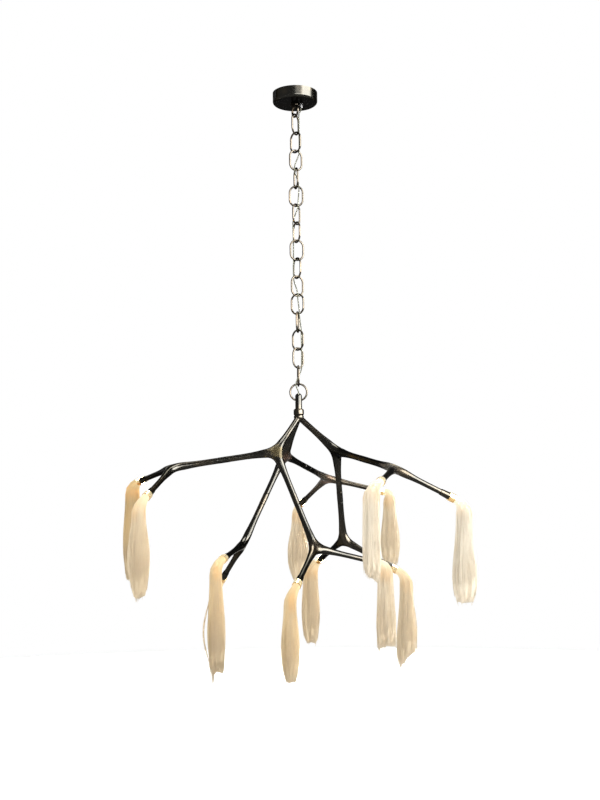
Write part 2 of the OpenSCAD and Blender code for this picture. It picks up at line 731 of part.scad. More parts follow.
canopy();
mounting_bar();
lock_nut();
hanging_loop();
lamp_driver();
terminal_block();
cord_grip();
supply_cord();
for (i = [1:link_count])
    chain_link(i - 1);
hanging_ring();
stem();
collar();
crown();
for (b = [0:len(BRANCH) - 1]) {
    main_fork(b);
    high_fork(b);
    low_fork(b);
    coupling(b, high_aim(b));
    coupling(b, low_aim(b));
}
end_sleeves();
brass_cups();
lamps();
wiring();
for (i = [1:tip_count])
    tassel(i - 1);
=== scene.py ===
# %% [markdown]
# # A branch chandelier, dressed around its CAD model
#
# The CAD model holds every rigid piece at its real size: canopy, chain, stem, crown, cast forks,
# couplings, sleeves, brass cups and lamps. This lesson gives each of them a finish, and replaces
# the pieces whose real shape is softer than CAD solids can be: the forks, whose arms flow into
# each other as castings do, the fibre tassels, and the cord that is woven through the chain.
# Lengths are in metres here, so the values that repeat the model's are written in millimetres
# times MM.

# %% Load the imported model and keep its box
import json
import math
import random

import bmesh
import bpy
import numpy as np
from mathutils import Matrix, Vector


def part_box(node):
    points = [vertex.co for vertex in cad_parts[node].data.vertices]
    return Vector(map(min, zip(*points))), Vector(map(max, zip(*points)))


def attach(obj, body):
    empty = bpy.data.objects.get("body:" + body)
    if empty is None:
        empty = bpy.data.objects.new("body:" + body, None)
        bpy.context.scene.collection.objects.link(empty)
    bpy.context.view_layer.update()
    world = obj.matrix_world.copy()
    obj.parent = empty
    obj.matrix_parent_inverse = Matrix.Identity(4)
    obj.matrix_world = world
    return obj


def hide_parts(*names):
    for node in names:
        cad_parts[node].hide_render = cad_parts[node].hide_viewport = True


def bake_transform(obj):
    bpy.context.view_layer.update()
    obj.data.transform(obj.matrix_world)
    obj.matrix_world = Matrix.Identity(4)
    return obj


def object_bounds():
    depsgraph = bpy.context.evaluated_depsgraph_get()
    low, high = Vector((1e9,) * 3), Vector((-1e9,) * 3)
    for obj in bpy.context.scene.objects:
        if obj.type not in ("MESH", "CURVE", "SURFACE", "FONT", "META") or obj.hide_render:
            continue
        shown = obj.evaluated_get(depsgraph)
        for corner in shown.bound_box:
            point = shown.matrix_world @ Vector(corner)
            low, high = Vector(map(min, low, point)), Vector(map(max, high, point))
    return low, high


MM = 0.001
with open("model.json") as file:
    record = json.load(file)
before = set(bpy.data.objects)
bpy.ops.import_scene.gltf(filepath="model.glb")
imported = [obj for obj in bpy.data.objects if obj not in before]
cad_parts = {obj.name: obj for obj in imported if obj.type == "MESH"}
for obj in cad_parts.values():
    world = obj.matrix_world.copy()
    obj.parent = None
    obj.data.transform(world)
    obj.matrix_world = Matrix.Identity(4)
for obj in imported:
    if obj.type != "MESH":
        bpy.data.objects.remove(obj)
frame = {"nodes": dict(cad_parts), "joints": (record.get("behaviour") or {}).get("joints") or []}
cad_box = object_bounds()
print("CAD box", [[round(x, 3) for x in corner] for corner in cad_box])

# %% [markdown]
# ## The camera
#
# A product photograph of a hanging light is usually taken level, from a few metres away, with the
# lens shifted so that the chain and the tassels both fit. A camera tilted up would make the chain
# lean. So the camera looks along +Y, square on, and its shift moves the picture instead. Its small
# roll is the photograph's own: the chain leans by half a degree there.

# %% Camera
FRAME_HEIGHT_PX = 800
SENSOR = 36.0
FOCAL_PX = 1130.5  # focal length, counted in picture heights of 800
METRES_PER_PX = 2.8 * MM  # at the stem's distance
AXIS_BELOW_HUB_PX = 98.6  # how far the camera looks below the crown's centre
SHIFT_PX = 115.7  # from the picture's middle down to the camera's own level
ROLL = 0.012

SEAT_H = 4 * MM  # the stem stands this far above the crown's centre
hub = Vector((0, 0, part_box("stem")[0].z - SEAT_H))
camera_distance = FOCAL_PX * METRES_PER_PX
camera_height = hub.z - AXIS_BELOW_HUB_PX * METRES_PER_PX

camera_data = bpy.data.cameras.new("photo_camera")
camera_data.sensor_width = SENSOR
camera_data.lens = SENSOR * FOCAL_PX / FRAME_HEIGHT_PX
camera_data.shift_y = SHIFT_PX / FRAME_HEIGHT_PX
camera_data.clip_end = 100
camera = bpy.data.objects.new("photo_camera", camera_data)
bpy.context.scene.collection.objects.link(camera)
camera.matrix_world = (
    Matrix.Translation((0, -camera_distance, camera_height))
    @ Matrix.Rotation(math.radians(90), 4, "X")
    @ Matrix.Rotation(-ROLL, 4, "Z")
)
bpy.context.scene.camera = camera
print("camera", round(camera_distance, 3), "m away,", round(camera_data.lens, 1), "mm lens")

# %% [markdown]
# ## Materials as Python sums
#
# A procedural material is a graph of nodes, and a long graph is hard to read as a list of links.
# The class below wraps one output of a node, so `0.4 + 0.2 * grain` adds the two Math nodes that
# it says. Everything else comes from one method that takes a node's type, its settings and what
# goes into its sockets.


# %% A wrapped socket and a material builder
class Wire:
    """One output socket of a node, with arithmetic."""

    def __init__(self, paint, socket):
        self.paint = paint
        self.socket = socket

    def maths(self, operation, a, b):
        return self.paint.node("ShaderNodeMath", {"operation": operation}, {0: a, 1: b})

    def __add__(self, other):
        return self.maths("ADD", self, other)

    def __radd__(self, other):
        return self.maths("ADD", other, self)

    def __sub__(self, other):
        return self.maths("SUBTRACT", self, other)

    def __rsub__(self, other):
        return self.maths("SUBTRACT", other, self)

    def __mul__(self, other):
        return self.maths("MULTIPLY", self, other)

    def __rmul__(self, other):
        return self.maths("MULTIPLY", other, self)

    def __truediv__(self, other):
        return self.maths("DIVIDE", self, other)

class Paint:
    """Builds one material's nodes."""

    def __init__(self, name):
        self.material = bpy.data.materials.new(name)
        self.material.use_nodes = True
        self.nodes = self.material.node_tree.nodes
        self.links = self.material.node_tree.links
        self.shader = self.nodes["Principled BSDF"]

    def node(self, kind, settings=None, inputs=None, out=0):
        """A node of this type, with its settings and what goes into its sockets."""
        made = self.nodes.new(kind)
        for name, value in (settings or {}).items():
            setattr(made, name, value)
        for name, value in (inputs or {}).items():
            self.feed(made.inputs[name], value)
        return Wire(self, made.outputs[out])

    def feed(self, socket, value):
        if isinstance(value, Wire):
            self.links.new(value.socket, socket)
        elif socket.type == "RGBA" and len(value) == 3:
            socket.default_value = (*value, 1)
        else:
            socket.default_value = value

    def mix(self, factor, a, b):
        """Mixes two colours."""
        settings = {"data_type": "RGBA", "clamp_factor": True}
        return self.node("ShaderNodeMix", settings, {0: factor, 6: a, 7: b}, out=2)

    def noise(self, where, scale, detail=3, roughness=0.5, distortion=0):
        inputs = {"Vector": where, "Scale": scale, "Detail": detail}
        inputs |= {"Roughness": roughness, "Distortion": distortion}
        return self.node("ShaderNodeTexNoise", {}, inputs)

    def place(self):
        """The point's place in metres, which moves with the piece."""
        return self.node("ShaderNodeTexCoord", out=3)

    def attribute(self, name):
        """A number that is stored on the mesh."""
        return self.node("ShaderNodeAttribute", {"attribute_name": name}, out=2)

    def point(self, x, y, z=0):
        return self.node("ShaderNodeCombineXYZ", {}, {0: x, 1: y, 2: z})

    def between(self, value, low, high):
        """0 below low, 1 above high, smooth in between."""
        settings = {"interpolation_type": "SMOOTHSTEP", "clamp": True}
        return self.node("ShaderNodeMapRange", settings, {0: value, 1: low, 2: high})

    def bump(self, height, distance, strength=1.0):
        inputs = {"Height": height, "Distance": distance, "Strength": strength}
        self.feed(self.shader.inputs["Normal"], self.node("ShaderNodeBump", {}, inputs))

    def set(self, **values):
        """Sets the shader's sockets: base_color=..., roughness=... and so on."""
        for name, value in values.items():
            words = name.replace("_", " ").title().replace("Ior", "IOR")
            self.feed(self.shader.inputs[words], value)
        return self.material


# %% [markdown]
# ## Cast bronze with a dark patina
#
# The forks are castings that were polished and then darkened. The polish leaves bright, soft
# bands along each arm, while the metal between them is nearly black. Real patina isn't even: it
# wears through to olive and reddish brown where arms meet, because a cloth rubs the knots most.
# One noise lifts the black a little here and there. A worn patch is a ball round a knot, whose
# edge another noise breaks up. It is a dull oxide and not a mirror, so the metallic share falls
# there. Dark metal mirrors white at its edges, which would thin the arms, so the tint of the edge
# is set dark as well.


# %% Bronze
EDGE_TINT = (0.26, 0.25, 0.22)
WEAR_EDGE = 0.7  # how softly a worn patch ends, as a share of its radius
WEAR_BREAK = 1.4  # how far the noise shifts its edge, as a share of its radius


def bronze_paint(name, dark, warm, shine, worn=(), grain=0.02 * MM):
    """worn: (place, radius, colour, strength) for each patch that a cloth has rubbed."""
    paint = Paint(name)
    where = paint.place()
    clouds = paint.noise(where, 14, 4, 0.55)
    bloom = paint.noise(where, 60, 5, 0.65, 0.6)
    fine = paint.noise(where, 420, 3, 0.6)
    colour = paint.mix(0.8 * paint.between(clouds, 0.45, 0.72), dark, warm)
    patch = 0.0
    for place, radius, tint, strength in worn:
        settings = {"operation": "DISTANCE"}
        away = paint.node("ShaderNodeVectorMath", settings, {0: where, 1: place}, out=1)
        inside = radius - away + radius * WEAR_BREAK * (bloom - 0.5)
        near = strength * paint.between(inside, 0, radius * WEAR_EDGE)
        colour = paint.mix(near, colour, tint)
        patch = patch + near
    rough = shine + 0.06 * paint.between(bloom, 0.45, 0.75) + 0.03 * fine + 0.25 * patch
    paint.bump(bloom * 0.6 + fine * 0.4, grain)
    return paint.set(
        base_color=colour,
        metallic=0.94 - 0.92 * patch,
        roughness=rough,
        specular_ior_level=0.10,
        specular_tint=EDGE_TINT,
    )


# %% [markdown]
# ## Polished brass
#
# Each cup is turned and polished on its wide side, and its underside is painted a browner colour as
# shade. The direction that the surface faces in its own space, not the camera's, chooses between
# the two.


# %% Brass
POLISHED = (0.88, 0.74, 0.44)
# painted shade: the brown of the cups' undersides
UNDERSIDE_SHADE = (0.46, 0.29, 0.11)


def brass_paint():
    paint = Paint("polished_brass")
    where = paint.place()
    clouds = paint.noise(where, 60, 3)
    fine = paint.noise(where, 900, 2)
    facing = paint.node("ShaderNodeTexCoord", out=1)
    upright = paint.node("ShaderNodeSeparateXYZ", {}, {0: facing}, out=2)
    # painted shade: surfaces that face down take the brown, broken a little by noise
    painted_underside_shade = paint.between(0.15 * clouds - upright, -0.35, 0.75)
    colour = paint.mix(painted_underside_shade, POLISHED, UNDERSIDE_SHADE)
    paint.bump(fine, 0.02 * MM)
    return paint.set(base_color=colour, metallic=1.0, roughness=0.14 + 0.14 * clouds)


brass = brass_paint()

# %% [markdown]
# ## Fibre
#
# A tassel's colour changes from lock to lock and along each fibre, never across it, so the noise is
# stretched: its place is the angle round the tassel and the distance down it, both stored on the
# mesh as it is made. The lamp in the cup lights the first few centimetres from inside. That glow
# is an emission colour that fades with the same stored distance, and a little further down an
# amber band of painted lamp light is mixed into the base colour.


# %% Silky fibre
# colours of an ivory tassel and of a golden one
BLONDE = ((0.97, 0.90, 0.76), (0.77, 0.57, 0.29))
HONEY = ((0.95, 0.83, 0.64), (0.56, 0.37, 0.15))
STREAK = ((0.84, 0.71, 0.52), (0.62, 0.49, 0.32))
GLOW = ((1.0, 0.88, 0.62), (1.0, 0.78, 0.38))
# colours that all tassels share
HAIR = (0.50, 0.37, 0.22)
GROOVE_SHADE = (0.46, 0.34, 0.20)
LOWER_SHADE = (0.54, 0.44, 0.30)
# the amber of painted lamp light a little below the cup
AMBER = (0.90, 0.60, 0.28)
# distances down a tassel
GLOW_END = 44 * MM
AMBER_IN = (12 * MM, 30 * MM)
AMBER_OUT = (34 * MM, 66 * MM)
LOWER_PART = (90 * MM, 270 * MM)


def fibre_paint():
    paint = Paint("ivory_fibre")
    around = paint.attribute("around")
    fall = paint.attribute("fall")
    tone = paint.attribute("tone")
    groove = paint.attribute("groove")
    locks = paint.noise(paint.point(around * 4, fall * 5, tone * 9), 1, 2)
    strands = paint.noise(paint.point(around * 26, fall * 6, tone * 9), 1, 3, 0.6)
    hairs = paint.noise(paint.point(around * 110, fall * 9, tone * 9), 1, 2, 0.6)
    blonde = paint.mix(tone, *BLONDE)
    honey = paint.mix(tone, *HONEY)
    locked = paint.mix(0.75 * paint.between(locks, 0.42, 0.70), blonde, honey)
    streak = paint.mix(tone, *STREAK)
    streaked = paint.mix(0.42 * paint.between(strands, 0.48, 0.70), locked, streak)
    combed = paint.mix(0.20 * paint.between(hairs, 0.48, 0.66), streaked, HAIR)
    shaded = paint.mix(0.32 * groove, combed, GROOVE_SHADE)
    deeper = (0.22 + 0.60 * tone) * paint.between(fall, *LOWER_PART)
    lower = paint.mix(deeper, shaded, LOWER_SHADE)
    # painted lamp light: an amber band below the glow, stronger in golden tassels and in some locks
    painted_lamp_amber = paint.between(fall, *AMBER_IN) * (1 - paint.between(fall, *AMBER_OUT))
    reach = 0.15 + 0.75 * tone
    warmed = paint.mix(reach * painted_lamp_amber * paint.between(locks, 0.34, 0.56), lower, AMBER)
    lit = 1 - paint.between(fall, 0.0, GLOW_END)
    glow = paint.mix(lit, (0, 0, 0), paint.mix(tone, *GLOW))
    paint.bump(strands * 0.6 + hairs * 0.4, 0.25 * MM)
    return paint.set(
        base_color=warmed,
        roughness=0.42 + 0.2 * hairs,
        specular_ior_level=0.08,
        sheen_weight=0.15,
        sheen_roughness=0.4,
        emission_color=glow,
        emission_strength=0.20,
    )


fibre = fibre_paint()


# %% Plain finishes: cord sleeve, lamp lens, plated steel and plastics
def plain_paint(name, colour, darker, roughness, metallic=0.0, scale=150):
    paint = Paint(name)
    mottle = paint.noise(paint.place(), scale, 4)
    paint.bump(mottle, 0.05 * MM)
    return paint.set(
        base_color=paint.mix(paint.between(mottle, 0.4, 0.65), colour, darker),
        roughness=roughness - 0.06 + 0.12 * mottle,
        metallic=metallic,
    )


def lens_paint():
    paint = Paint("lamp_lens")
    frost = paint.noise(paint.place(), 700, 2)
    paint.bump(frost, 0.03 * MM)
    return paint.set(
        base_color=paint.mix(frost, (1.0, 0.93, 0.78), (0.95, 0.85, 0.62)),
        roughness=0.35 + 0.1 * frost,
        emission_color=(1.0, 0.80, 0.50),
        emission_strength=2.0,
    )


RIBS_ROUND = 6
RIBS_PER_METRE = 160
ABOVE_ZERO = 64  # whole ribs, added so that what is split into fractions stays positive


def cord_paint():
    """A braided sleeve: two sets of slanting ribs from stored places round and along it."""
    paint = Paint("cord_sleeve")
    turn = paint.attribute("around") * RIBS_ROUND
    along = paint.attribute("fall") * RIBS_PER_METRE
    left = paint.node("ShaderNodeMath", {"operation": "FRACT"}, {0: turn + along})
    right = paint.node("ShaderNodeMath", {"operation": "FRACT"}, {0: along - turn + ABOVE_ZERO})
    weave = paint.between(left, 0.1, 0.5) * paint.between(right, 0.1, 0.5)
    paint.bump(weave, 0.2 * MM)
    return paint.set(
        base_color=paint.mix(weave, (0.15, 0.15, 0.11), (0.29, 0.29, 0.22)),
        roughness=0.6,
        specular_ior_level=0.1,
    )


lens = lens_paint()
cord_sleeve = cord_paint()
plated_steel = plain_paint(
    "plated_steel", (0.62, 0.62, 0.60), (0.50, 0.50, 0.49), 0.3, metallic=1.0, scale=90
)
white_plastic = plain_paint("white_plastic", (0.84, 0.84, 0.81), (0.78, 0.78, 0.75), 0.5)
black_nylon = plain_paint("black_nylon", (0.03, 0.03, 0.03), (0.05, 0.05, 0.05), 0.45)


# %% [markdown]
# ## The branches' layout
#
# Three like branches stand round the stem. Each has a crown arm that drops to a main fork, a
# nearly level arm to a high fork and a steep one to a low fork, and two tip arms on each of those.
# Every arm is a heading and a drop below level, as in the model. A crown arm's heading is its own,
# and the others are counted from the arm that carries them.

# %% Headings, drops and lengths of the arms
BRANCHES = ("left", "back", "right")
CROWN_REACH = 143 * MM
MAIN_REACH = 286 * MM
TIP_REACH = 165 * MM
SLEEVE_L = 25 * MM
COUPLING_L = 33 * MM
CROWN_LEG = 42 * MM
CUP_L = 17 * MM
# headings and drops in degrees
CROWN_ARMS = ((231, 45), (115, 45), (351, 43))
HIGH_ARMS = ((-51, 8), (-52, 12), (-51, 12))
LOW_ARMS = ((101, 66), (94, 62), (90, 61))
HIGH_TIPS = (((-52, 10), (71, 27)), ((-64, 14), (58, 26)), ((-46, 13), (73, 26)))
LOW_TIPS = (((-81, 31), (41, 14)), ((-89, 37), (45, 12)), ((-99, 29), (33, 21)))


def aim(heading, drop):
    heading, drop = math.radians(heading), math.radians(drop)
    level = math.cos(drop)
    return Vector((level * math.cos(heading), level * math.sin(heading), -math.sin(drop)))


# %% Work out every knot and tip
forks = {}  # name of the fork's node: (knot, direction back in, [directions out], is main)
tips = []  # (arm's end, direction) in the order of the tassels
for b, name in enumerate(BRANCHES):
    crown_heading, crown_drop = CROWN_ARMS[b]
    crown_aim = aim(crown_heading, crown_drop)
    main_knot = hub + CROWN_REACH * crown_aim
    outs = []
    for kind, (turn, drop), tip_pair in (
        ("high", HIGH_ARMS[b], HIGH_TIPS[b]),
        ("low", LOW_ARMS[b], LOW_TIPS[b]),
    ):
        heading = crown_heading + turn
        arm_aim = aim(heading, drop)
        knot = main_knot + MAIN_REACH * arm_aim
        tip_aims = [aim(heading + tip_turn, tip_drop) for tip_turn, tip_drop in tip_pair]
        forks[f"{kind}_fork_{name}"] = (knot, -arm_aim, tip_aims, False)
        tips += [(knot + TIP_REACH * tip_aim, tip_aim) for tip_aim in tip_aims]
        outs.append(arm_aim)
    forks[f"main_fork_{name}"] = (main_knot, -crown_aim, outs, True)
print(len(forks), "forks and", len(tips), "tips")

# %% The bronze of the castings, worn at four of the knots
OLIVE_WEAR = (0.046, 0.036, 0.017)
RED_WEAR = (0.080, 0.043, 0.027)
BROWN_WEAR = (0.052, 0.040, 0.026)
bronze = bronze_paint(
    "dark_bronze",
    (0.0140, 0.0135, 0.0118),
    (0.033, 0.027, 0.0190),
    0.18,
    worn=(
        (forks["high_fork_back"][0], 120 * MM, BROWN_WEAR, 0.5),
        (forks["high_fork_right"][0], 60 * MM, BROWN_WEAR, 0.5),
        (forks["main_fork_left"][0], 27 * MM, OLIVE_WEAR, 0.9),
        (forks["main_fork_back"][0], 30 * MM, RED_WEAR, 0.7),
        (forks["high_fork_back"][0], 30 * MM, RED_WEAR, 0.75),
        (forks["high_fork_right"][0], 26 * MM, OLIVE_WEAR, 0.6),
    ),
)
chain_bronze = bronze_paint(
    "chain_bronze", (0.030, 0.026, 0.020), (0.062, 0.049, 0.034), 0.27, grain=0.03 * MM
)


# %% A mesh object from points and faces
def tube(first, rings, sides):
    """Faces between rings of points that follow each other from point number first."""
    faces = []
    for ring in range(rings - 1):
        for k in range(sides):
            a = first + ring * sides + k
            b = first + ring * sides + (k + 1) % sides
            faces.append((a, b, b + sides, a + sides))
    return faces


def mesh_object(name, points, faces, material, attributes=None):
    mesh = bpy.data.meshes.new(name)
    mesh.from_pydata([tuple(p) for p in points], [], faces)
    for key, values in (attributes or {}).items():
        layer = mesh.attributes.new(key, "FLOAT", "POINT")
        layer.data.foreach_set("value", np.asarray(values, dtype=np.float32))
    # faces that turn opposite ways round cancel in smooth shading, so all are made to face out
    outward = bmesh.new()
    outward.from_mesh(mesh)
    bmesh.ops.recalc_face_normals(outward, faces=outward.faces)
    outward.to_mesh(mesh)
    outward.free()
    mesh.polygons.foreach_set("use_smooth", [True] * len(mesh.polygons))
    mesh.materials.append(material)
    mesh.update()
    made = bpy.data.objects.new(name, mesh)
    bpy.context.scene.collection.objects.link(made)
    return made


# %% [markdown]
# ## Webbed forks
#
# Where three arms of a casting meet, the metal flows from one to the next in a wide fillet. Joined
# cylinders have a hard crease there instead. A voxel remesh could soften it, but on polished metal
# its small bumps show in every reflection. So the skin between each two arms is laid out: half
# of one arm's end ring is joined to half of its neighbour's by smooth curves, and the three
# patches meet in a seam over the top and under the bottom. A little relaxing and one subdivision
# make it flow.

# %% Sizes of a casting
HALF_RING = 12  # steps from an arm's top round its side to its bottom
HALF_CURVE = 6  # steps from an arm's ring to the middle of the web
WEB_AT = 33 * MM  # how far from the knot the web leaves an arm
WEB_R = 10.8 * MM  # an arm's radius there
MAIN_WEB_R = 11.8 * MM
KNOT_R = 12.6 * MM
ARM_R = 8.25 * MM
TIP_ARM_R = 7.25 * MM
FLARE_L = 90 * MM  # how far from the knot an arm is down to its own radius
END_EDGE = 0.2 * MM  # how much the edge of an arm's end draws in
ROUND = 1 / 0.9886  # the subdivision draws a ring of 24 in by this much
FLARE_RINGS = (0.12, 0.26, 0.45, 0.7, 1.0)  # places of the rings along the flare
PLAIN_RINGS = (0.3, 0.65, 0.93, 0.995, 1.0)  # and along the rest of the arm
SOFT_SHARE = 0.3  # the rings on this share of the flare relax with the web
ARM_HANDLE, KNOT_HANDLE = 0.4, 0.3  # handles of a seam's curve, in WEB_AT
WEB_HANDLE, SIDE_SHORTER = 0.62, 0.16  # handles of a web's curve, shorter at the arms' sides


def bezier(p0, p1, p2, p3, t):
    s = 1 - t
    return s * s * s * p0 + 3 * s * s * t * p1 + 3 * s * t * t * p2 + t * t * t * p3


# %% Lay a knot and its arms
class Casting:
    """The points and faces of a fork. The pole is roughly square to all three arms."""

    def __init__(self, knot, arms, pole):
        across = Vector((1, 0, 0)).cross(pole)
        if across.length < 0.2:
            across = Vector((0, 1, 0)).cross(pole)
        across.normalize()
        second = pole.cross(across)
        self.arms = sorted(arms, key=lambda a: math.atan2(a[0].dot(second), a[0].dot(across)))
        self.knot, self.pole = knot, pole
        self.points, self.faces = [], []
        self.held, self.soft = set(), set()  # points that stay, and that move after the web has

    def add(self, point):
        self.points.append(point)
        return len(self.points) - 1

    def ring(self, direction, distance, radius, kept_in):
        """A ring of points round an arm, from its top."""
        top = (self.pole - self.pole.dot(direction) * direction).normalized()
        side = top.cross(direction).normalized()
        if side.dot(self.pole.cross(direction)) < 0:
            side = -side
        out = []
        for k in range(2 * HALF_RING):
            a = math.pi * k / HALF_RING
            spoke = top * math.cos(a) + side * math.sin(a)
            out.append(self.add(self.knot + direction * distance + spoke * radius * ROUND))
        kept_in.update(out)
        return out

    def arm(self, direction, length, end_r, web_r):
        """Lays an arm from the web to its end, and returns its first ring."""
        first = last = self.ring(direction, WEB_AT, web_r, self.soft)
        steps = [WEB_AT + (FLARE_L - WEB_AT) * share for share in FLARE_RINGS]
        steps += [FLARE_L + (length - FLARE_L) * share for share in PLAIN_RINGS]
        for step in steps:
            thin = min(1, (step - WEB_AT) / (FLARE_L - WEB_AT))
            radius = web_r + (end_r - web_r) * thin * (2 - thin)
            if step == length:
                radius -= END_EDGE
            kept_in = self.held if thin > SOFT_SHARE else self.soft
            following = self.ring(direction, step, radius, kept_in)
            for k in range(2 * HALF_RING):
                n = (k + 1) % (2 * HALF_RING)
                self.faces.append((last[k], last[n], following[n], following[k]))
            last = following
        self.faces.append(tuple(last))
        return first

    def curve(self, start_id, end_id, start_handle, end_handle, steps):
        """Lays a curve between two points, and returns the numbers of all of its points."""
        start, end = self.points[start_id], self.points[end_id]
        p1, p2 = start + start_handle, end + end_handle
        inner = [self.add(bezier(start, p1, p2, end, j / steps)) for j in range(1, steps)]
        return [start_id] + inner + [end_id]

    def seams(self, rings):
        """For each arm, the curves from its top and its bottom to the middle of the knot."""
        top = self.add(self.knot + self.pole * KNOT_R)
        bottom = self.add(self.knot - self.pole * KNOT_R)
        out = []
        for (direction, _, _), ring in zip(self.arms, rings):
            level = (direction - direction.dot(self.pole) * self.pole).normalized()
            handles = (-(direction * WEB_AT * ARM_HANDLE), level * WEB_AT * KNOT_HANDLE)
            ends = ((ring[0], top), (ring[HALF_RING], bottom))
            out.append([self.curve(*pair, *handles, HALF_CURVE) for pair in ends])
        return out

    def web(self, a, rings, seams):
        """Lays the skin between arm number a and the next one."""
        b = (a + 1) % 3
        rows = [seams[a][0] + seams[b][0][-2::-1]]
        for i in range(1, HALF_RING):
            reach = WEB_AT * (WEB_HANDLE - SIDE_SHORTER * math.sin(math.pi * i / HALF_RING))
            handles = (-(self.arms[a][0] * reach), -(self.arms[b][0] * reach))
            ends = (rings[a][i], rings[b][-i % (2 * HALF_RING)])
            rows.append(self.curve(*ends, *handles, 2 * HALF_CURVE))
        rows.append(seams[a][1] + seams[b][1][-2::-1])
        for i in range(HALF_RING):
            for j in range(2 * HALF_CURVE):
                face = (rows[i][j], rows[i][j + 1], rows[i + 1][j + 1], rows[i + 1][j])
                self.faces.append(face[::-1])


# %% Relax and subdivide a casting
FIRST_ROUNDS = 2  # rounds in which only the web moves
FLOW_ROUNDS = 60
REGROW = 0.52


def relax(points, faces, fixed, rounds, regrow=0.0):
    """Moves each free point towards the middle of its neighbours.

    With regrow, every other round moves them away again, which smooths and keeps the girth.
    """
    near = {}
    for face in faces:
        for k, p in enumerate(face):
            near.setdefault(p, set()).update((face[k - 1], face[(k + 1) % len(face)]))
    for turn in range(rounds):
        share = -regrow if regrow and turn % 2 else 0.5
        moved = {
            p: points[p].lerp(sum((points[q] for q in ring), Vector()) / len(ring), share)
            for p, ring in near.items()
            if p not in fixed
        }
        for p, place in moved.items():
            points[p] = place


def webbed_casting(name, knot, arms, pole, web_r):
    """arms: (direction, length, end radius) each."""
    cast = Casting(knot, arms, pole)
    rings = [cast.arm(*arm, web_r) for arm in cast.arms]
    seams = cast.seams(rings)
    for a in range(3):
        cast.web(a, rings, seams)
    relax(cast.points, cast.faces, cast.held | cast.soft, FIRST_ROUNDS)
    relax(cast.points, cast.faces, cast.held, FLOW_ROUNDS, REGROW)
    made = mesh_object(name, cast.points, cast.faces, bronze)
    subdivide = made.modifiers.new("flow", "SUBSURF")
    subdivide.levels = subdivide.render_levels = 1
    return made


# %% Make the nine forks
for node, (knot, back_in, outs, is_main) in forks.items():
    long_leg = (MAIN_REACH - COUPLING_L) / 2
    in_leg = CROWN_REACH - CROWN_LEG if is_main else long_leg
    out_leg = long_leg if is_main else TIP_REACH - SLEEVE_L
    out_r = ARM_R if is_main else TIP_ARM_R
    arms = [(back_in, in_leg, ARM_R)] + [(out, out_leg, out_r) for out in outs]
    pole = sum((arms[k][0].cross(arms[(k + 1) % 3][0]) for k in range(3)), Vector()).normalized()
    web_r = MAIN_WEB_R if is_main else WEB_R
    casting = webbed_casting(f"{node}_casting", knot, arms, pole, web_r)
    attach(casting, "light")
    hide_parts(node)

# %% [markdown]
# ## Tassels
#
# Each tassel is a bundle of long silky fibres that leaves its cup along the arm, bends over and
# hangs in soft locks. Hair systems don't survive an export, and a plain cone looks like plastic.
# So each tassel is a fluted core that carries the locks' shadows, under a layer of fine closed
# strands that follow it, part from it a little and end raggedly.

# %% Sizes of the tassels, within a few millimetres of the model's
TASSEL_BEND = 30 * MM  # how far out and down the bend over the cup's rim goes
BEND_L = 1.25 * TASSEL_BEND  # the bend's length, counted along the fibres
ROOT_R = 9.2 * MM
MOUTH_GAP = 0.6 * MM
LOCK_RAG = 16 * MM  # how unevenly the outer fibres end
FOOT_ROUND = 75 * MM  # how far a foot would be rounded if its fibres met in a point
# in millimetres: reach below the cup's mouth, greatest width, and lean to the right
TASSEL_L = (292, 286, 257, 240, 237, 268, 255, 306, 252, 286, 284, 266)
TASSEL_W = (57, 55, 46, 56, 58, 66, 48, 46, 44, 66, 59, 54)
TASSEL_LEAN = (-5, -7, -8, -9, -13, 7, -8, -8, -15, -1, 0, -14)
# width below the bend and at the foot, as shares of the greatest, and how far down that one is
TASSEL_NECK = (0.70, 0.62, 0.67, 0.74, 0.62, 0.56, 0.68, 0.68, 0.90, 0.62, 0.62, 0.80)
TASSEL_HEM = (0.78, 0.40, 0.58, 0.92, 0.78, 0.42, 0.80, 0.84, 0.85, 0.66, 0.80, 0.66)
TASSEL_FULL = (0.55, 0.45, 0.50, 0.95, 0.60, 0.50, 0.50, 0.60, 0.70, 0.70, 0.80, 0.55)
# how much further the fibres on the left (below 0) or on the right reach down, in millimetres
TASSEL_SLANT = (0, -12, 0, -6, 10, -10, 0, 0, 22, 0, -46, 0)
# from ivory, 0, to gold, 1
TASSEL_TONE = (0.95, 0.52, 0.80, 0.34, 0.46, 0.42, 0.8, 0.80, 0.12, 0.0, 0.50, 0.62)
# waves in the outline of the foot: height, number round the tassel, and which phase each takes
RAG_WAVES = ((0.30, 3, 4), (0.20, 7, 5), (0.20, 13, 3), (0.16, 23, 2))
WIDE_LOCKS = 5  # number round a tassel
FINE_LOCKS = 11
CREST = 1.05  # a lock's crest, as a share of the girth
GROOVE_DEPTH = 0.16  # how much lower a groove is
DOWN = Vector((0, 0, -1))


def smooth(t):
    t = min(1, max(0, t))
    return t * t * (3 - 2 * t)


def late(t, start):
    """0 up to start, and then smoothly up to 1."""
    return smooth((t - start) / (1 - start))


